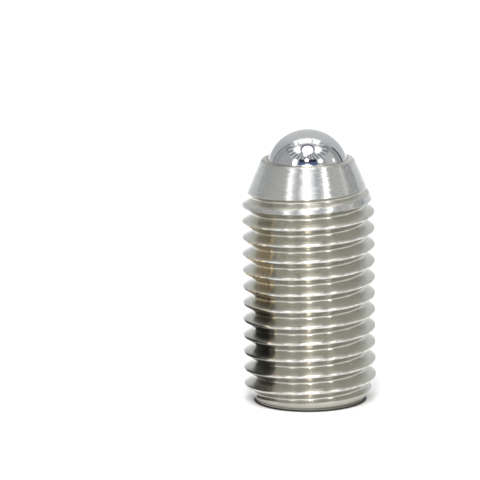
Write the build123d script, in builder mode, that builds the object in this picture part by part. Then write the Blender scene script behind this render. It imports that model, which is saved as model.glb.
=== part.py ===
from build123d import *
import os
from math import asin, ceil, cos, degrees, pi, radians, sin, sqrt, tan

# Ball-nose spring plunger, M16 x 2, with an internal hexagon. Millimetres and degrees.
# It stands on its socket end: +Z runs up its axis, from the rim of the socket at z = 0
# to the tip of the ball, and the origin is the middle of that rim.

# Sleeve: thread, nose cone, and the chamfer at the socket end
thread_radius = 8.0          # over the crests
thread_pitch = 2.0           # right-hand, 60 degree form
groove_phase = 0.07          # height at which a groove passes the +X side
sleeve_length = 29.65        # from the rim to the lip round the ball
nose_angle = 23.4            # from the axis
lip_wall = 0.74              # from the lip's opening to where the nose cone would reach its plane
lip_round = 0.4              # the rolled lip's outer corner
end_angle = 34.0             # end chamfer, from the axis
rim_radius = 6.45            # the flat rim that the plunger stands on
rim_width = 0.5

# Hexagon socket
socket_across_flats = 8.0
socket_depth = 10.0
countersink_angle = 30.0     # from the end plane
broach_allowance = 0.05      # what the broach takes off the drilled hole at each flat
drill_point_angle = 30.0     # from the end plane
drill_tip_radius = 1.0       # blunt tip of the drill's point

# Ball, its chamber and its spring
ball_radius = 5.0
ball_stroke = 3.5            # the ball stands out by this, and can be pressed in by it
ball_clearance = 0.05        # all round the ball, in the chamber and under the lip
web_thickness = 2.3          # metal left between the socket and the chamber
wire_diameter = 1.3
coil_clearance = 0.3         # between the coils and the chamber's wall
closed_turns = 1.0           # closed up at each end of the spring
closed_gap = 0.05            # between closed turns, and from the top turn to the ball
open_pitch = 1.95            # rise of each open turn
steps_per_turn = 20          # straight steps along the wire
wire_sides = 8

# Thread form: 60 degrees, crest flat of an eighth of the pitch, root 17/24 of its height deep
flank_angle = 30.0
root_radius = thread_radius - 17 / 24 * thread_pitch * cos(radians(flank_angle))
crest_width = thread_pitch / 8
cutter_radius = thread_radius + 0.1
groove_start = groove_phase - thread_pitch
groove_turns = ceil(sleeve_length / thread_pitch) + 2

# Nose, lip and end chamfer
chamber_radius = ball_radius + ball_clearance
lip_over_ball = ball_radius - ball_stroke    # height of the lip's plane over the ball's middle
ball_height = sleeve_length - lip_over_ball
seat_angle = degrees(asin(lip_over_ball / chamber_radius))
lip_radius = sqrt(chamber_radius**2 - lip_over_ball**2) + lip_wall
nose_base = sleeve_length - (thread_radius - lip_radius) / tan(radians(nose_angle))
end_chamfer_height = (thread_radius - rim_radius) / tan(radians(end_angle))

# Socket and chamber
countersink_radius = rim_radius - rim_width
countersink_depth = countersink_radius * tan(radians(countersink_angle))
drill_radius = socket_across_flats / 2 - broach_allowance
drill_point = socket_depth + (drill_radius - drill_tip_radius) * tan(radians(drill_point_angle))
chamber_floor = drill_point + web_thickness


def groove_half_width(radius):
    """Half the width of the thread's groove at a distance from the axis."""
    return (thread_pitch - crest_width) / 2 - (thread_radius - radius) * tan(radians(flank_angle))


# One turn of the thread's groove, as a cutter that starts on the +X side
with BuildPart() as groove_turn:
    with BuildLine() as groove_path:
        Helix(thread_pitch, thread_pitch, thread_radius)
    with BuildSketch(Plane.XZ):
        with BuildLine():
            Polyline(
                (root_radius, -groove_half_width(root_radius)),
                (cutter_radius, -groove_half_width(cutter_radius)),
                (cutter_radius, groove_half_width(cutter_radius)),
                (root_radius, groove_half_width(root_radius)),
                close=True,
            )
        make_face()
    sweep(path=groove_path.wire(), is_frenet=True)

with BuildPart() as body:
    # threaded bar: the groove's turns follow one another from below the bar to above it
    with BuildSketch(Plane.XY):
        Circle(thread_radius)
    extrude(amount=sleeve_length)
    with Locations(*[(0, 0, groove_start + thread_pitch * turn) for turn in range(groove_turns)]):
        add(groove_turn.part, mode=Mode.SUBTRACT)

    # ends turned to shape: rim and chamfer below, nose cone and rounded lip above
    with BuildSketch(Plane.XZ):
        with BuildLine():
            Polyline(
                (0, 0),
                (rim_radius, 0),
                (thread_radius, end_chamfer_height),
                (cutter_radius, end_chamfer_height),
                (cutter_radius, nose_base),
                (thread_radius, nose_base),
                (lip_radius, sleeve_length),
                (0, sleeve_length),
                close=True,
            )
        outline = make_face()
        lip_corner = outline.vertices().group_by(Axis.Y)[-1].sort_by(Axis.X)[-1]
        fillet(lip_corner, lip_round)
    revolve(axis=Axis.Z, mode=Mode.INTERSECT)

    # hexagon socket: countersink, drilled hole with its point, broached hexagon
    with BuildSketch(Plane.XZ):
        with BuildLine():
            Polyline((0, 0), (countersink_radius, 0), (0, countersink_depth), close=True)
        make_face()
        with BuildLine():
            Polyline(
                (0, 0),
                (drill_radius, 0),
                (drill_radius, socket_depth),
                (drill_tip_radius, drill_point),
                (0, drill_point),
                close=True,
            )
        make_face()
    revolve(axis=Axis.Z, mode=Mode.SUBTRACT)
    with BuildSketch(Plane.XY):
        RegularPolygon(socket_across_flats / 2, 6, major_radius=False)
    extrude(amount=socket_depth, mode=Mode.SUBTRACT)

    # ball chamber: flat-bottomed, closed in over the ball by the rolled lip
    with BuildSketch(Plane.XZ):
        with BuildLine():
            wall = Polyline(
                (0, sleeve_length),
                (0, chamber_floor),
                (chamber_radius, chamber_floor),
                (chamber_radius, ball_height),
            )
            seat = CenterArc((0, ball_height), chamber_radius, 0, seat_angle)
            Line(seat @ 1, wall @ 0)
        make_face()
    revolve(axis=Axis.Z, mode=Mode.SUBTRACT)

with BuildPart() as ball:
    with Locations((0, 0, ball_height)):
        Sphere(ball_radius)

# Spring: its bottom turn stands on the chamber's floor and its top turn carries the ball
coil_radius = chamber_radius - coil_clearance - wire_diameter / 2
wire_to_ball = ball_radius + closed_gap + wire_diameter / 2
wire_bottom = chamber_floor + wire_diameter / 2
wire_top = ball_height - sqrt(wire_to_ball**2 - coil_radius**2)
closed_pitch = wire_diameter + closed_gap
open_turns = (wire_top - wire_bottom - 2 * closed_turns * closed_pitch) / open_pitch
spring_turns = open_turns + 2 * closed_turns
wire_steps = ceil(spring_turns * steps_per_turn)


def wire_point(turn):
    """The wire's middle line after a number of turns: closed turns below and above the open ones."""
    opened = min(max(turn - closed_turns, 0), open_turns)
    height = wire_bottom + closed_pitch * (turn - opened) + open_pitch * opened
    return (coil_radius * cos(2 * pi * turn), coil_radius * sin(2 * pi * turn), height)


with BuildPart() as spring:
    with BuildLine() as wire_path:
        Polyline(*[wire_point(spring_turns * step / wire_steps) for step in range(wire_steps + 1)])
    with BuildSketch(Plane(origin=wire_path.line @ 0, z_dir=wire_path.line % 0)):
        RegularPolygon(wire_diameter / 2, wire_sides)
    sweep(path=wire_path.wire(), transition=Transition.RIGHT)

os.makedirs("parts", exist_ok=True)
for name, piece in (("body", body), ("ball", ball), ("spring", spring)):
    piece.part.label = name
    export_step(piece.part, f"parts/{name}.step")
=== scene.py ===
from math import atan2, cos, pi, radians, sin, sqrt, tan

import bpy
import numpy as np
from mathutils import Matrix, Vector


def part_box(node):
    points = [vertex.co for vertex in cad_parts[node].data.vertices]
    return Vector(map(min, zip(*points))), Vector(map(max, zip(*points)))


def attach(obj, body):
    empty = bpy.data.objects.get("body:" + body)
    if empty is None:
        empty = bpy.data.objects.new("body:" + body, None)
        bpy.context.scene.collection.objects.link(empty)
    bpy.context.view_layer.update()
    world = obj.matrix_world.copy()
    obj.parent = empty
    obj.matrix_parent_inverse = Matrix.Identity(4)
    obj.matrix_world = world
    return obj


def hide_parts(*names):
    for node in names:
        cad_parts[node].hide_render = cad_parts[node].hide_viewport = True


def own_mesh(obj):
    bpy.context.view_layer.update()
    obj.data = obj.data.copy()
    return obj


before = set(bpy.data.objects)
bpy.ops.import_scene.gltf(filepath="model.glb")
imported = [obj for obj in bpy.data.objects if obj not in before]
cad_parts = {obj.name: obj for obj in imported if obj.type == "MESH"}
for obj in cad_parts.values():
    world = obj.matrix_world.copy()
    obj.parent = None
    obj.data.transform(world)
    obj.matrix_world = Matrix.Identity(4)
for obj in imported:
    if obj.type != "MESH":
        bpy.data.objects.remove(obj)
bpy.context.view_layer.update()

# A ball-nose spring plunger, M16 x 2, that stands on its socket end with the ball up.
# Each piece is a surface worked out on a grid, in the frame of the CAD: +Z runs up the
# plunger's axis from the middle of its rim. Shapes are in millimetres until they become
# meshes; materials, the studio and the camera are in metres.

MM = 0.001

# ---------------------------------------------------------------- sizes of the pieces
SLEEVE_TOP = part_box("body")[1][2] / MM
BALL_LOW, BALL_HIGH = (corner[2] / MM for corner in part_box("ball"))
SPRING_LOW, SPRING_HIGH = (corner[2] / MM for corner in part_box("spring"))

BALL_RADIUS = (BALL_HIGH - BALL_LOW) / 2
BALL_HEIGHT = BALL_HIGH - BALL_RADIUS

THREAD_RADIUS = 8.0
THREAD_PITCH = 2.0
FLANK_ANGLE = radians(30)           # between a flank and a plane across the axis
THREAD_ROOT = THREAD_RADIUS - 17 / 24 * THREAD_PITCH * cos(FLANK_ANGLE)
GROOVE_PHASE = 0.07                 # height of a groove's middle on the +X side
CREST_HALF = THREAD_PITCH / 16      # half the width of the crest, before it is rounded
FLANK_RISE = 1 / tan(FLANK_ANGLE)   # radius gained for each millimetre along the axis
CREST_ROUND = 0.16
ROOT_ROUND = 0.32
BURR_ROUND = 0.05                   # where the thread runs out through a turned cone

RIM_RADIUS = 6.45
COUNTERSINK_RADIUS = 5.95
RIM_ROUND = 0.17                    # at the rim's outer edge, with a narrow land above it
RIM_LAND = 0.10
LAND_TAPER = 0.01                   # radius that the land gains over its height
END_ANGLE = radians(34)
END_SLOPE = tan(END_ANGLE)          # radius gained for each millimetre up the end chamfer
NOSE_ANGLE = radians(23.4)
CHAMBER_RADIUS = BALL_RADIUS + 0.05
LIP_OPENING = sqrt(CHAMBER_RADIUS**2 - (SLEEVE_TOP - BALL_HEIGHT) ** 2)
LIP_RADIUS = LIP_OPENING + 0.74
LIP_ROUND = 0.4
LIP_EDGE = 0.04                     # a narrow row beside the lip's inner edge
CHAMBER_FLOOR = SPRING_LOW
HEXAGON_HALF = 4.0
SOCKET_DEPTH = 10.0
DRILL_RADIUS = 3.95
DRILL_TIP = 1.0
SOCKET_CONE_RISE = tan(radians(30))  # of the drill point and the countersink, for each millimetre inwards

# the thread's band, between two plain circles on the end chamfer and on the nose cone
BAND_LOW = 0.35
BAND_HIGH = 27.3
COLUMNS = 144                       # round the axis; each corner of the hexagon has its own
# rows of the band over half a pitch, from the groove's middle to the crest's, as shares of that half
THREAD_STATIONS = np.array([0.06, 0.12, 0.17, 0.22, 0.28, 0.34, 0.43, 0.53, 0.63, 0.72, 0.79, 0.83, 0.86,
                            0.89, 0.92, 0.96])

WIRE_RADIUS = 0.65
COIL_RADIUS = 4.1
CLOSED_RISE = 1.35                  # rise of the wire's middle in a turn
OPEN_RISE = 1.95
CLOSED_TURNS = 1.0                  # at each end

SHARP_ANGLE = radians(35)
WELD_REACH = 1e-4


# ---------------------------------------------------------------- meshes from grids
def grid_quads(points):
    """Quads between the neighbouring rows and columns of a grid of points, as indices row by row."""
    rows, columns = points.shape[:2]
    index = np.arange(rows * columns).reshape(rows, columns)
    return np.stack([index[:-1, :-1], index[:-1, 1:], index[1:, 1:], index[1:, :-1]], -1).reshape(-1, 4)


def join_grids(grids):
    """Several grids as one list of points and one of quads."""
    starts = np.cumsum([0] + [grid.shape[0] * grid.shape[1] for grid in grids[:-1]])
    points = np.concatenate([grid.reshape(-1, 3) for grid in grids])
    quads = np.concatenate([grid_quads(grid) + start for grid, start in zip(grids, starts)])
    return points, quads


def welded(points, quads):
    """Points that fall in one cell of the size of the weld's reach become one point. A quad that loses a
    corner becomes a triangle, and one that loses more is left out."""
    _, first, place = np.unique(np.round(points / WELD_REACH).astype(np.int64), axis=0,
                                return_index=True, return_inverse=True)
    quads = place.reshape(-1)[quads]
    corner = quads != np.roll(quads, -1, axis=1)
    count = corner.sum(1)
    triangles = quads[count == 3][corner[count == 3]].reshape(-1, 3)
    return points[first], quads[count == 4], triangles


def signed_volume(points, quads, triangles):
    """Sum of the volumes between each face and the origin: positive when faces point outwards."""
    corners = np.concatenate([quads[:, :3], quads[:, [0, 2, 3]], triangles])
    a, b, c = (points[corners[:, k]] for k in range(3))
    return np.einsum("ij,ij->i", a, np.cross(b, c)).sum() / 6


def make_piece(name, grids, material, body, slot, node, **zones):
    """A closed mesh from grids of points in millimetres, which stands for a CAD node and rides on a body.
    A zone is a function that gives each point its share of a finish, kept as an attribute."""
    points, quads, triangles = welded(*join_grids(grids))
    if signed_volume(points, quads, triangles) < 0:
        quads, triangles = quads[:, ::-1], triangles[:, ::-1]
    mesh = bpy.data.meshes.new(name)
    mesh.from_pydata((points * MM).tolist(), [], quads.tolist() + triangles.tolist())
    mesh.validate()
    mesh.shade_smooth()
    mesh.set_sharp_from_angle(angle=SHARP_ANGLE)
    for zone, share in zones.items():
        values = share(points).astype(np.float32)
        mesh.attributes.new(zone, "FLOAT", "POINT").data.foreach_set("value", values)
    mesh.materials.append(material)
    piece = bpy.data.objects.new(name, mesh)
    bpy.context.collection.objects.link(piece)
    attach(piece, body)
    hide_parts(node)
    return piece


# ---------------------------------------------------------------- the sleeve
def rounded_min(a, b, width):
    """The smaller of two values, less (width - |a - b|) squared / 4 width where they are closer than
    width."""
    return np.minimum(a, b) - np.maximum(width - np.abs(a - b), 0) ** 2 / (4 * width)


def groove_offset(height, rise):
    """Distance up from the middle of the nearest groove, where the helix has risen by pitch x angle / full
    turn: height - rise - phase, brought to within half a pitch of zero."""
    return (height - rise - GROOVE_PHASE + THREAD_PITCH / 2) % THREAD_PITCH - THREAD_PITCH / 2


def thread_form(offset):
    """Radius of the thread at a distance along the axis from the middle of its groove: the root,
    a flank at 60 degrees to the axis and the crest, with both corners rounded."""
    flank = THREAD_RADIUS - (THREAD_PITCH / 2 - CREST_HALF - np.abs(offset)) * FLANK_RISE
    lower = -rounded_min(-flank, -THREAD_ROOT, ROOT_ROUND)
    return rounded_min(lower, THREAD_RADIUS, CREST_ROUND)


def turned_ends(height):
    """Radius of the two cones that the ends are turned to: the end chamfer below, the nose above."""
    chamfer = RIM_RADIUS + height * END_SLOPE
    nose = LIP_RADIUS + (SLEEVE_TOP - height) * tan(NOSE_ANGLE)
    return np.minimum(chamfer, nose)


def turned_share(points):
    """1 where a point lies within 0.03 mm of the nose cone that the lathe turned, 0 on the thread and
    below it."""
    radius, height = np.hypot(points[:, 0], points[:, 1]), points[:, 2]
    return ((np.abs(radius - turned_ends(height)) < 0.03) & (height > SLEEVE_TOP / 2)).astype(float)


def shaded_flank_share(points):
    """1 on the flanks of the thread that face down, where the sleeve's colour gets painted shade. It rises
    over the first 0.2 mm above the middle of the groove and fades over the last 0.1 mm below the crest."""
    rise = THREAD_PITCH * np.arctan2(points[:, 1], points[:, 0]) / (2 * pi)
    offset = groove_offset(points[:, 2], rise)
    return np.clip(offset / 0.2, 0, 1) * np.clip((THREAD_PITCH / 2 - CREST_HALF - offset) / 0.1, 0, 1)


def crest_share(points):
    """Rises from 0 to 1 over the last 0.12 mm below the thread's outer radius."""
    return np.clip((np.hypot(points[:, 0], points[:, 1]) - THREAD_RADIUS) / 0.12 + 1, 0, 1)


def ring_angles():
    """The angles round the axis of every grid's columns, with the seam's angle at both ends."""
    return np.linspace(0, 2 * pi, COLUMNS + 1)


def around(radius, height):
    """Points at a radius and a height for each row and each angle round the axis."""
    angle = ring_angles()
    radius = np.broadcast_to(radius, np.broadcast_shapes(np.shape(radius), np.shape(height), angle.shape))
    return np.stack([radius * np.cos(angle), radius * np.sin(angle),
                     np.broadcast_to(height, radius.shape)], -1)


def thread_band():
    """The thread: rows follow the helix, so that each row keeps its place on the thread's form.
    Height = row's start + pitch x angle / full turn, held between the band's two circles, and the
    radius is the lesser of the thread's form and the turned cones there."""
    stations = np.concatenate([-THREAD_STATIONS[::-1], [0], THREAD_STATIONS, [1]]) * THREAD_PITCH / 2
    turns = np.arange(np.floor((BAND_LOW - GROOVE_PHASE) / THREAD_PITCH) - 1,
                      np.ceil((BAND_HIGH - GROOVE_PHASE) / THREAD_PITCH) + 1)
    start = (GROOVE_PHASE + turns[:, None] * THREAD_PITCH + stations).reshape(-1, 1)
    rise = THREAD_PITCH * ring_angles() / (2 * pi)
    height = np.clip(start + rise, BAND_LOW, BAND_HIGH)
    form = thread_form(groove_offset(height, rise))
    return around(rounded_min(form, turned_ends(height), BURR_ROUND), height)


def profile_rows(corners):
    """Points along straight runs between corners (radius, height, steps), as a column of each."""
    radius, height = [], []
    for (r0, z0, steps), (r1, z1, _) in zip(corners[:-1], corners[1:]):
        share = np.linspace(0, 1, steps, endpoint=False)
        radius.append(r0 + (r1 - r0) * share)
        height.append(z0 + (z1 - z0) * share)
    radius.append([corners[-1][0]])
    height.append([corners[-1][1]])
    return np.concatenate(radius)[:, None], np.concatenate(height)[:, None]


def nose_and_chamber():
    """The sleeve above the thread's band, turned round the axis: nose cone, rolled lip (an arc), the lip's
    flat, the spherical seat over the ball, and the chamber down to its floor."""
    bend = np.linspace(NOSE_ANGLE, pi / 2, 9)
    arc_radius = LIP_RADIUS - LIP_ROUND * tan((pi / 2 - NOSE_ANGLE) / 2)
    arc_height = SLEEVE_TOP - LIP_ROUND
    seat = np.linspace(atan2(SLEEVE_TOP - BALL_HEIGHT, LIP_OPENING), 0, 8)
    runs = [(float(turned_ends(BAND_HIGH)), BAND_HIGH, 4)]
    runs += [(arc_radius + LIP_ROUND * cos(a), arc_height + LIP_ROUND * sin(a), 1) for a in bend]
    runs += [(LIP_OPENING + LIP_EDGE, SLEEVE_TOP, 1)]
    runs += [(CHAMBER_RADIUS * cos(a), BALL_HEIGHT + CHAMBER_RADIUS * sin(a), 1) for a in seat]
    runs += [(CHAMBER_RADIUS, CHAMBER_FLOOR, 2), (0, CHAMBER_FLOOR, 1)]
    return around(*profile_rows(runs))


def rim_and_socket():
    """The sleeve below the thread's band: drill point, hexagon, countersink, rim and end chamfer. The
    hexagon's radius is half its width across flats over the cosine of the angle from the flat's middle,
    and the countersink meets it at the height where the cone has that radius."""
    hexagon = HEXAGON_HALF / np.cos((ring_angles() % (pi / 3)) - pi / 6)
    meeting = (COUNTERSINK_RADIUS - hexagon) * SOCKET_CONE_RISE
    drill_point = SOCKET_DEPTH + (DRILL_RADIUS - DRILL_TIP) * SOCKET_CONE_RISE
    bottom = around(*profile_rows([(0, drill_point, 1), (DRILL_TIP, drill_point, 2),
                                   (DRILL_RADIUS, SOCKET_DEPTH, 1)]))
    ends, steps = np.array([0, 1])[:, None], np.linspace(0, 1, 7)[:, None]
    floor = around(DRILL_RADIUS + (hexagon - DRILL_RADIUS) * ends, SOCKET_DEPTH)
    wall = around(np.broadcast_to(hexagon, (steps.size, hexagon.size)),
                  SOCKET_DEPTH + (meeting - SOCKET_DEPTH) * steps)
    sink_radius = hexagon + (COUNTERSINK_RADIUS - hexagon) * steps
    sink = around(sink_radius, (COUNTERSINK_RADIUS - sink_radius) * SOCKET_CONE_RISE)
    edge = RIM_RADIUS + RIM_ROUND * (END_SLOPE - 1)
    corners = [(COUNTERSINK_RADIUS, 0, 1)]
    corners += [(edge + RIM_ROUND * cos(a), RIM_ROUND + RIM_ROUND * sin(a), 1)
                for a in np.linspace(-pi / 2, 0, 7)]
    corners += [(edge + RIM_ROUND + LAND_TAPER, RIM_ROUND + RIM_LAND, 1),
                (float(turned_ends(BAND_LOW)), BAND_LOW, 1)]
    return [bottom, floor, wall, sink, around(*profile_rows(corners))]


# ---------------------------------------------------------------- the ball and the spring
def ball_grid():
    """A sphere from pole to pole: longitude round the axis, latitude along it."""
    latitude = np.linspace(-pi / 2, pi / 2, 97)[:, None]
    return around(BALL_RADIUS * np.cos(latitude), BALL_HEIGHT + BALL_RADIUS * np.sin(latitude))


def coil_grids():
    """A round wire carried along a helix: the wire's middle rises by the closed turns' rise at both ends
    and by the open turns' rise between them, and a circle across the wire follows it, square to its
    path."""
    bottom, top = SPRING_LOW + WIRE_RADIUS, SPRING_HIGH - WIRE_RADIUS
    open_turns = (top - bottom - 2 * CLOSED_TURNS * CLOSED_RISE) / OPEN_RISE
    turn = np.linspace(0, open_turns + 2 * CLOSED_TURNS, 361)
    opened = np.clip(turn - CLOSED_TURNS, 0, open_turns)
    height = bottom + CLOSED_RISE * (turn - opened) + OPEN_RISE * opened
    angle = 2 * pi * turn
    middle = np.stack([COIL_RADIUS * np.cos(angle), COIL_RADIUS * np.sin(angle), height], -1)
    along = np.gradient(middle, axis=0)
    along /= np.linalg.norm(along, axis=1, keepdims=True)
    outward = middle * [1, 1, 0] / COIL_RADIUS
    across = np.cross(along, outward)
    around_wire = np.linspace(0, 2 * pi, 25)[None, :, None]
    circle = outward[:, None] * np.cos(around_wire) + across[:, None] * np.sin(around_wire)
    share = np.array([0, 1])[:, None, None]
    first, last = (middle[k] + WIRE_RADIUS * circle[k] * share for k in (0, -1))
    return [first, middle[:, None] + WIRE_RADIUS * circle, last[::-1]]


# ---------------------------------------------------------------- shader helpers
def feed(tree, socket, value):
    """Links a socket to another, or sets it to a number, a vector or a colour of three numbers."""
    if isinstance(value, bpy.types.NodeSocket):
        tree.links.new(value, socket)
    elif value is not None:
        socket.default_value = (*value, 1) if socket.type == "RGBA" else value


def fill(tree, node, **values):
    """Values that name a node's setting set it, and those that name an input feed its socket."""
    for name, value in values.items():
        if name in node.bl_rna.properties:
            setattr(node, name, value)
        else:
            feed(tree, node.inputs[name.replace("_", " ")], value)
    return node


def add_node(tree, kind, **values):
    """A new node of a kind, filled with values."""
    return fill(tree, tree.nodes.new(kind), **values)


def calc(tree, operation, first, second=None, clamp=False):
    """A Math node on sockets or numbers, and its output."""
    made = add_node(tree, "ShaderNodeMath", operation=operation, use_clamp=clamp)
    for socket, value in zip(made.inputs, (first, second)):
        feed(tree, socket, value)
    return made.outputs[0]


def vector_calc(tree, operation, first, second=None, scale=None):
    """A Vector Math node on sockets or vectors, and its output."""
    made = add_node(tree, "ShaderNodeVectorMath", operation=operation)
    for socket, value in zip(made.inputs, (first, second, None, scale)):
        feed(tree, socket, value)
    return made.outputs["Value" if operation == "DOT_PRODUCT" else "Vector"]


def mixed(tree, share, first, second, blend="MIX"):
    """A colour made of two, each a socket or three numbers."""
    mix = add_node(tree, "ShaderNodeMix", data_type="RGBA", blend_type=blend)
    for place, value in ((0, share), (6, first), (7, second)):
        feed(tree, mix.inputs[place], value)
    return mix.outputs[2]


def object_place(tree):
    """The place on the piece, in metres."""
    return tree.nodes.new("ShaderNodeTexCoord").outputs["Object"]


def zone(tree, name):
    """The share of a finish that make_piece has kept for each point."""
    return add_node(tree, "ShaderNodeAttribute", attribute_name=name).outputs["Fac"]


def new_material(name):
    """A material, its tree and its shader."""
    material = bpy.data.materials.new(name)
    material.use_nodes = True
    return material, material.node_tree, material.node_tree.nodes["Principled BSDF"]


def new_group(name, inputs, outputs):
    """An empty shader node group with named sockets: inputs are (name, type, value)."""
    tree = bpy.data.node_groups.new(name, "ShaderNodeTree")
    for socket_name, kind, value in inputs:
        socket = tree.interface.new_socket(socket_name, in_out="INPUT", socket_type=kind)
        if value is not None:
            socket.default_value = value
    for socket_name, kind in outputs:
        tree.interface.new_socket(socket_name, in_out="OUTPUT", socket_type=kind)
    return tree, tree.nodes.new("NodeGroupInput"), tree.nodes.new("NodeGroupOutput")


# ---------------------------------------------------------------- finishes of the steel
def turning_marks_group():
    """Fine rings that a lathe tool leaves: noise that is stretched round the axis, so it changes quickly
    along the axis and slowly round it. Height and a value for colour and roughness come out."""
    round_scale, patch_scale = 300, 900     # changes of the noise in a metre
    tree, given, result = new_group(
        "turning_marks",
        [("Vector", "NodeSocketVector", None), ("Rings per mm", "NodeSocketFloat", 12.0),
         ("Unevenness", "NodeSocketFloat", 0.3)],
        [("Height", "NodeSocketFloat"), ("Value", "NodeSocketFloat")])
    x, y, z = add_node(tree, "ShaderNodeSeparateXYZ", Vector=given.outputs["Vector"]).outputs
    squares = calc(tree, "ADD", calc(tree, "MULTIPLY", x, x), calc(tree, "MULTIPLY", y, y))
    along = calc(tree, "ADD", z, calc(tree, "SQRT", squares))
    stretched = add_node(
        tree, "ShaderNodeCombineXYZ",
        X=calc(tree, "MULTIPLY", x, round_scale), Y=calc(tree, "MULTIPLY", y, round_scale),
        Z=calc(tree, "MULTIPLY", along, calc(tree, "MULTIPLY", given.outputs["Rings per mm"], 1 / MM)))
    rings = add_node(tree, "ShaderNodeTexNoise", Vector=stretched.outputs[0], Scale=1.0, Detail=3.0,
                     Roughness=0.6).outputs["Fac"]
    patches = add_node(tree, "ShaderNodeTexNoise", Vector=given.outputs["Vector"], Scale=patch_scale,
                       Detail=2.0).outputs["Fac"]
    uneven = calc(tree, "MULTIPLY", calc(tree, "SUBTRACT", patches, 0.5), given.outputs["Unevenness"])
    fill(tree, result, Height=rings, Value=calc(tree, "ADD", rings, uneven, clamp=True))
    return tree


def fine_scratches_group():
    """Hair-fine scratches in all directions: the thin valleys of a warped noise."""
    tree, given, result = new_group(
        "fine_scratches",
        [("Vector", "NodeSocketVector", None), ("Scale", "NodeSocketFloat", 1500.0),
         ("Width", "NodeSocketFloat", 0.02)],
        [("Mask", "NodeSocketFloat")])
    noise = add_node(tree, "ShaderNodeTexNoise", Vector=given.outputs["Vector"],
                     Scale=given.outputs["Scale"], Detail=1.0, Distortion=1.5)
    distance = calc(tree, "ABSOLUTE", calc(tree, "SUBTRACT", noise.outputs["Fac"], 0.5))
    widths = calc(tree, "DIVIDE", distance, given.outputs["Width"])
    fill(tree, result, Mask=calc(tree, "SUBTRACT", 1.0, widths, clamp=True))
    return tree


TURNING_MARKS = turning_marks_group()
FINE_SCRATCHES = fine_scratches_group()
RELIEF_DEPTH = 0.00001
QUARTER_TURN = 0.25                 # turns the gloss from along the marks to across them


def steel(name, colour, dark_colour, roughness, spread, rings, bump, anisotropic, scratches):
    """Stainless steel: colour and roughness vary with the turning marks and the scratches, a bump gives the
    marks their relief, and anisotropic steel has its gloss drawn out across the marks."""
    material, tree, shader = new_material(name)
    coordinates = object_place(tree)
    marks = add_node(tree, "ShaderNodeGroup", node_tree=TURNING_MARKS, Vector=coordinates,
                     Rings_per_mm=rings).outputs
    hairs = add_node(tree, "ShaderNodeGroup", node_tree=FINE_SCRATCHES, Vector=coordinates).outputs
    rough = calc(tree, "ADD", calc(tree, "MULTIPLY", marks["Value"], spread), roughness - spread / 2)
    rough = calc(tree, "ADD", rough, calc(tree, "MULTIPLY", hairs["Mask"], scratches))
    relief = add_node(tree, "ShaderNodeBump", Strength=bump, Distance=RELIEF_DEPTH, Height=marks["Height"])
    fill(tree, shader, Metallic=1.0, Anisotropic=anisotropic, Anisotropic_Rotation=QUARTER_TURN,
         Base_Color=mixed(tree, marks["Value"], dark_colour, colour), Roughness=rough,
         Normal=relief.outputs[0])
    if anisotropic:
        tangent = add_node(tree, "ShaderNodeTangent", direction_type="RADIAL", axis="Z")
        fill(tree, shader, Tangent=tangent.outputs[0])
    return material


def lathe_waver(tree, coordinates, normal, share):
    """The normal swings a little to either side, each ring of the feed on its own: n + t * swing, where t
    is the unit vector (-y, x, 0) / r round the axis."""
    stretch, widest = (500, 500, 8000), 0.14
    unit = vector_calc(tree, "NORMALIZE", vector_calc(tree, "CROSS_PRODUCT", (0, 0, 1), coordinates))
    noise = add_node(tree, "ShaderNodeTexNoise", Vector=vector_calc(tree, "MULTIPLY", coordinates, stretch),
                     Scale=1.0, Detail=2.0)
    swing = calc(tree, "MULTIPLY", calc(tree, "SUBTRACT", noise.outputs["Fac"], 0.5), widest)
    swung = vector_calc(tree, "SCALE", unit, scale=calc(tree, "MULTIPLY", swing, share))
    return vector_calc(tree, "NORMALIZE", vector_calc(tree, "ADD", normal, swung))


def sleeve_steel():
    """The sleeve's steel: the thread is a shade warmer than the turned cones and carries painted shade, a
    darker tint, on the flanks that face down; its crests are rolled bright in patches, and the cones carry
    the rings of the lathe's feed."""
    # the second tint is painted shade for the thread's flanks that face down; the first is the thread's
    # warmer tone
    upper_tint, painted_shade_tint, rolled_colour = (1.01, 0.99, 0.92), (0.65, 0.63, 0.57), (0.76, 0.76, 0.74)
    patch_scale, patch_start, patch_rise = 1400, 0.47, 9.0
    rougher_cone, feed_step, feed_height = 0.02, 0.00036, 0.5
    material = steel("sleeve_steel", colour=(0.60, 0.605, 0.585), dark_colour=(0.55, 0.555, 0.53),
                     roughness=0.24, spread=0.05, rings=10, bump=0.35, anisotropic=1.0, scratches=0.03)
    tree = material.node_tree
    shader = tree.nodes["Principled BSDF"]
    plain, rough, relief = (shader.inputs[name].links[0].from_socket
                            for name in ("Base Color", "Roughness", "Normal"))
    coordinates = object_place(tree)
    turned = zone(tree, "turned")

    # painted shade: the flanks that face down (zone "lower") take the darker tint, and the rest of the
    # thread keeps its warmer tone
    tint_and_painted_shade = mixed(tree, zone(tree, "lower"), upper_tint, painted_shade_tint)
    thread = mixed(tree, 1.0, plain, tint_and_painted_shade, blend="MULTIPLY")
    patches = add_node(tree, "ShaderNodeTexNoise", Vector=coordinates, Scale=patch_scale, Detail=2.0)
    patch = calc(tree, "MULTIPLY", calc(tree, "SUBTRACT", patches.outputs["Fac"], patch_start), patch_rise,
                 clamp=True)
    rolled = mixed(tree, calc(tree, "MULTIPLY", zone(tree, "crest"), patch), thread, rolled_colour)

    height = add_node(tree, "ShaderNodeSeparateXYZ", Vector=coordinates).outputs[2]
    rings = calc(tree, "SINE", calc(tree, "MULTIPLY", height, 2 * pi / feed_step))
    rings = calc(tree, "MULTIPLY", calc(tree, "MULTIPLY", rings, feed_height), turned)
    marks = relief.node.inputs["Height"].links[0].from_socket
    fill(tree, relief.node, Height=calc(tree, "ADD", marks, rings))

    fill(tree, shader, Base_Color=mixed(tree, turned, rolled, plain),
         Roughness=calc(tree, "ADD", rough, calc(tree, "MULTIPLY", turned, rougher_cone)),
         Normal=lathe_waver(tree, coordinates, relief, turned))
    return material


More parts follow.
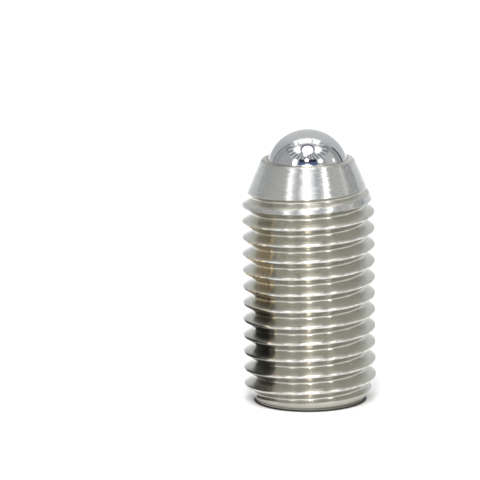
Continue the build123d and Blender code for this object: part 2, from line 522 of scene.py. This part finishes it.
SLEEVE_STEEL = sleeve_steel()
BALL_STEEL = steel("ball_steel", colour=(0.60, 0.61, 0.61), dark_colour=(0.58, 0.59, 0.59), roughness=0.05,
                   spread=0.02, rings=3, bump=0.0, anisotropic=0.0, scratches=0.04)
SPRING_WIRE = steel("spring_wire", colour=(0.66, 0.65, 0.62), dark_colour=(0.55, 0.54, 0.51), roughness=0.3,
                    spread=0.1, rings=6, bump=0.2, anisotropic=0.0, scratches=0.05)

# ---------------------------------------------------------------- the pieces
# the sleeve's zone "lower" marks the flanks that face down, which get painted shade
make_piece("sleeve", [thread_band(), nose_and_chamber(), *rim_and_socket()],
           SLEEVE_STEEL, "sleeve", "sleeve_steel", "body",
           turned=turned_share, crest=crest_share, lower=shaded_flank_share)
make_piece("nose_ball", [ball_grid()], BALL_STEEL, "ball", "ball_steel", "ball")
coil_spring = make_piece("coil_spring", coil_grids(), SPRING_WIRE, "spring", "spring_wire", "spring")

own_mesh(coil_spring)


# ---------------------------------------------------------------- floor and studio
def direction(azimuth, elevation):
    """Unit vector: azimuth from the front (-Y) towards the right (+X), elevation up from the floor."""
    a, e = radians(azimuth), radians(elevation)
    return Vector((sin(a) * cos(e), -cos(a) * cos(e), sin(e)))


def white_floor():
    """A wide disc under the plunger: matt white, with a glow that the camera and the metal see, and a
    painted contact shadow: ambient occlusion darkens its colour and its glow only where something stands
    close on it."""
    floor_colour, contact_shadow_colour, glow_strength = (0.84, 0.84, 0.84), (0.02, 0.02, 0.02), 0.06
    shadow_reach, shadow_fall = 0.0004, 4.0
    bpy.ops.mesh.primitive_circle_add(vertices=96, radius=2.0, fill_type="NGON")
    floor = bpy.context.object
    floor.name = "floor"
    material, tree, shader = new_material("floor_white")
    # painted contact shadow: ambient occlusion darkens the floor's colour and glow close to the plunger
    near = add_node(tree, "ShaderNodeAmbientOcclusion", samples=8, Distance=shadow_reach)
    unshadowed_share = calc(tree, "POWER", near.outputs["AO"], shadow_fall)
    rays = tree.nodes.new("ShaderNodeLightPath").outputs
    mirrored = calc(tree, "MAXIMUM", rays["Is Glossy Ray"], rays["Is Transmission Ray"])
    seen = calc(tree, "MAXIMUM", rays["Is Camera Ray"], mirrored)
    glow = calc(tree, "MULTIPLY", calc(tree, "MULTIPLY", seen, glow_strength), unshadowed_share)
    fill(tree, shader, Base_Color=mixed(tree, unshadowed_share, contact_shadow_colour, floor_colour), Roughness=0.9,
         Specular_IOR_Level=0.1, Emission_Color=(1, 1, 1), Emission_Strength=glow)
    floor.data.materials.append(material)


TENT = (0.55, 0.56, 0.56)
# Each part of the studio is a kind, its place, its softness and its colour. Places are, in degrees:
# panel (left, right, low, high), disc (azimuth, elevation, radius) and ribs (azimuth, elevation, radius,
# count, width); roof (left, right, front, back) is in hundredths of the unit sphere, seen from below.
STUDIO = [
    # walls behind, in two halves, and a bright patch on them
    ("panel", (120, 240, -90, 75), 8, (0.71, 0.74, 0.78)),
    ("panel", (-240, -120, -90, 75), 8, (0.62, 0.65, 0.69)),
    ("disc", (180, 42, 30), 10, (0.80, 0.80, 0.80)),
    # the tent's right side, and the gaps between its sides
    ("panel", (62, 96, 8, 60), 4, (0.70, 0.71, 0.71)),
    ("panel", (98, 112, -5, 40), 4, (0.44, 0.45, 0.46)),
    ("panel", (-112, -96, -5, 40), 6, (0.45, 0.46, 0.47)),
    ("panel", (116, 122, -5, 36), 1.5, (0.05, 0.05, 0.06)),
    ("panel", (-122, -118, -5, 52), 1.5, (0.22, 0.22, 0.23)),
    # a table below the window over the camera
    ("panel", (-34, 34, 5, 24), 3, (1.5, 1.5, 1.55)),
    # the umbrella's skirt with its rays
    ("panel", (-112, 112, 42, 58), 3, (0.36, 0.37, 0.39)),
    ("ribs", (0, 73, 46, 21, 0.45), 3, (0.95, 0.95, 1.0)),
    # the window, dark at its top and lit at its foot
    ("panel", (-30, 30, 24, 41), 2, (0.14, 0.18, 0.35)),
    ("panel", (-30, 30, 34, 41), 2, (0.03, 0.035, 0.05)),
    ("panel", (-18, 12, 14, 25), 3, (3.8, 3.8, 3.9)),
    ("panel", (-8, 5, 25, 29), 2, (3.0, 3.0, 3.1)),
    # the white sweep, low down all round, brighter behind, with its end on the right
    ("panel", (-240, 240, -90, 4), 3, (0.87, 0.89, 0.92)),
    ("disc", (180, -10, 20), 8, (0.90, 0.92, 0.95)),
    ("panel", (50, 100, -90, 11), 4, (0.36, 0.37, 0.38)),
    # the umbrella: its top, two ribs, its sides, and its hub with a lamp
    ("roof", (-43, 41, 5, 38), 3, (1.7, 1.7, 1.7)),
    ("roof", (15, 18, 0, 30), 1, (0.6, 0.6, 0.7)),
    ("roof", (-33, -30, 0, 24), 1, (0.6, 0.6, 0.7)),
    ("disc", (-68, 64, 9), 3, (1.8, 1.8, 1.8)),
    ("disc", (-50, 61, 6), 2.5, (2.2, 2.2, 2.2)),
    ("disc", (66, 63, 9), 3, (1.8, 1.8, 1.8)),
    ("disc", (50, 60, 6), 2.5, (2.2, 2.2, 2.2)),
    ("disc", (0, 72, 17), 1.5, (0.18, 0.18, 0.28)),
    ("disc", (0, 70, 13), 1.5, (5.0, 5.0, 5.0)),
    ("disc", (-10, 56, 5), 2, (3.0, 3.0, 3.0)),
    # lamps to the left and right, and the one over the camera
    ("disc", (-43, 33, 5.6), 2.0, (4.2, 4.2, 4.3)),
    ("disc", (-42, 27, 5.6), 2.0, (4.2, 4.2, 4.3)),
    ("disc", (42, 33, 4.5), 1.5, (14.0, 13.7, 13.4)),
    ("disc", (41, 19, 4), 2, (1.6, 1.6, 1.6)),
    ("disc", (87, 22, 4), 2, (2.0, 2.0, 1.9)),
    ("disc", (-4, 39.5, 3.0), 1, (62.0, 53.0, 48.0)),
]
RIB_SOFTNESS = 0.2


def studio_dome():
    """The world as a light tent, the same for every ray. Its direction is turned into azimuth and
    elevation, and each part of the tent is laid over the ones before it: panels are soft-edged boxes in
    azimuth and elevation, discs are soft-edged circles, and ribs run out from the umbrella's middle."""
    world = bpy.data.worlds.new("studio")
    bpy.context.scene.world = world
    world.use_nodes = True
    tree = world.node_tree
    looking = tree.nodes.new("ShaderNodeTexCoord").outputs["Generated"]
    x, y, z = add_node(tree, "ShaderNodeSeparateXYZ", Vector=looking).outputs
    azimuth = calc(tree, "DEGREES", calc(tree, "ARCTAN2", x, calc(tree, "MULTIPLY", y, -1)))
    elevation = calc(tree, "DEGREES", calc(tree, "ARCSINE", z))
    sideways, backwards = calc(tree, "MULTIPLY", x, 100), calc(tree, "MULTIPLY", y, 100)
    overhead = calc(tree, "GREATER_THAN", z, 0)

    def step_down(value, edge, soft):
        return add_node(tree, "ShaderNodeMapRange", interpolation_type="SMOOTHSTEP", Value=value,
                        From_Min=edge + soft, From_Max=edge - soft).outputs[0]

    def box(first, second, left, right, low, high, soft):
        across = calc(tree, "ABSOLUTE", calc(tree, "SUBTRACT", first, (left + right) / 2))
        upwards = calc(tree, "ABSOLUTE", calc(tree, "SUBTRACT", second, (low + high) / 2))
        return calc(tree, "MULTIPLY", step_down(across, (right - left) / 2, soft),
                    step_down(upwards, (high - low) / 2, soft))

    def along(axis):
        return vector_calc(tree, "DOT_PRODUCT", looking, axis)

    def disc(centre, radius, soft):
        turn = calc(tree, "DEGREES", calc(tree, "ARCCOSINE", calc(tree, "MINIMUM", along(centre), 1.0)))
        return step_down(turn, radius, soft)

    def ribs(centre, radius, count, width, soft):
        side = Vector((1, 0, 0))
        round_centre = calc(tree, "ARCTAN2", along(side), along(centre.cross(side)))
        wave = calc(tree, "MULTIPLY", calc(tree, "COSINE", calc(tree, "MULTIPLY", round_centre, count)), -1)
        return calc(tree, "MULTIPLY", step_down(wave, width - 1, RIB_SOFTNESS), disc(centre, radius, soft))

    colour = TENT
    for kind, place, soft, shade in STUDIO:
        if kind == "panel":
            mask = box(azimuth, elevation, *place, soft)
        elif kind == "roof":
            mask = calc(tree, "MULTIPLY", box(sideways, backwards, *place, soft), overhead)
        elif kind == "disc":
            mask = disc(direction(*place[:2]), place[2], soft)
        else:
            mask = ribs(direction(*place[:2]), *place[2:], soft)
        colour = mixed(tree, mask, colour, shade)
    fill(tree, tree.nodes["Background"], Color=colour)


LAMP_AIM = Vector((0, 0, 0.015))
LAMP_DISTANCE = 0.5
LAMP_SIZE = 0.35
LAMP_POWER = 1.2


def top_softbox():
    """A round lamp that lights from above, a little left of the front. The steel doesn't mirror it."""
    light = bpy.data.lights.new("top_softbox", "AREA")
    light.shape, light.size, light.energy = "DISK", LAMP_SIZE, LAMP_POWER
    lamp = bpy.data.objects.new("top_softbox", light)
    bpy.context.collection.objects.link(lamp)
    toward = direction(-10, 65)
    lamp.location = toward * LAMP_DISTANCE + LAMP_AIM
    lamp.rotation_euler = toward.to_track_quat("Z", "Y").to_euler()
    lamp.visible_glossy = False


# a roll that the steel reflects as painted shade, with painted glints on its upper half
SHADE_ROLL_RADIUS = 0.0125
SHADE_ROLL_LENGTH = 0.012
SHADE_ROLL_PLACE = (-0.0220, -0.0025, 0.0085)
SHADE_ROLL_TURN = (radians(90), 0, radians(18))
# glowing bands on the roll, painted glints that only the steel reflects
GLINT_PERIOD = 0.0016               # from band to band along the roll
GLINT_SLANT = 0.1
GLINT_LOW, GLINT_LOW_FADE = 0.0035, 0.004      # where the bands begin above the roll's axis and fade in
GLINT_HIGH, GLINT_HIGH_FADE = 0.0120, 0.002    # where they have faded out again
GLINT_GLOW = 2.2


def painted_shade_roll():
    """A dark roll that lies to the left of the plunger: a stand-in for shade, which the steel shows as a
    painted shade reflection, with glowing bands round its upper half that the steel shows as painted
    glints. The camera and the floor don't see it, only the steel."""
    bpy.ops.mesh.primitive_cylinder_add(vertices=64, radius=SHADE_ROLL_RADIUS, depth=SHADE_ROLL_LENGTH,
                                        location=SHADE_ROLL_PLACE, rotation=SHADE_ROLL_TURN)
    roll_object = bpy.context.object
    roll_object.name = "painted_shade_roll"
    material, tree, shader = new_material("painted_shade_roll")
    _, up, along = add_node(tree, "ShaderNodeSeparateXYZ", Vector=object_place(tree)).outputs
    slant = calc(tree, "ADD", along, calc(tree, "MULTIPLY", up, GLINT_SLANT))
    bands = calc(tree, "SINE", calc(tree, "MULTIPLY", slant, 2 * pi / GLINT_PERIOD))
    bands = calc(tree, "MULTIPLY", calc(tree, "SUBTRACT", bands, 0.1), 2.0, clamp=True)
    above = calc(tree, "MULTIPLY", calc(tree, "SUBTRACT", up, GLINT_LOW), 1 / GLINT_LOW_FADE, clamp=True)
    below = calc(tree, "MULTIPLY", calc(tree, "SUBTRACT", GLINT_HIGH, up), 1 / GLINT_HIGH_FADE, clamp=True)
    # painted glints: bands that glow on the roll's upper half
    painted_glints = calc(tree, "MULTIPLY", calc(tree, "MULTIPLY", bands, above), below)
    # the roll's near-black colour is painted shade in the steel's reflections
    fill(tree, shader, Roughness=0.6, Base_Color=(0.006, 0.005, 0.004), Emission_Color=(1.0, 0.78, 0.5),
         Emission_Strength=calc(tree, "MULTIPLY", painted_glints, GLINT_GLOW))
    roll_object.data.materials.append(material)
    for rays in ("camera", "diffuse", "shadow"):
        setattr(roll_object, "visible_" + rays, False)


# ---------------------------------------------------------------- camera
CAMERA_ELEVATION = 12.0
CAMERA_DISTANCE = 0.6
CAMERA_ROLL = -0.8
FRAME_WIDTH = 480
IMAGE_SCALE = 8.31e3                # a metre at the plunger's axis, on a frame that is 480 wide
AIM = Vector((-0.00824, 0, 0.01975))


def place_camera():
    """A camera in front, above the floor by its elevation, aimed left of the axis and rolled a little."""
    data = bpy.data.cameras.new("camera")
    data.sensor_width = 36
    data.lens = IMAGE_SCALE * CAMERA_DISTANCE / FRAME_WIDTH * data.sensor_width
    data.clip_start, data.clip_end = 0.01, 10
    camera = bpy.data.objects.new("camera", data)
    bpy.context.collection.objects.link(camera)
    toward = direction(0, CAMERA_ELEVATION)
    turn = toward.to_track_quat("Z", "Y").to_matrix().to_4x4()
    camera.matrix_world = (Matrix.Translation(AIM + toward * CAMERA_DISTANCE) @ turn
                           @ Matrix.Rotation(radians(CAMERA_ROLL), 4, "Z"))
    bpy.context.scene.camera = camera


white_floor()
studio_dome()
top_softbox()
painted_shade_roll()
place_camera()
bpy.context.scene.view_settings.view_transform = "Standard"
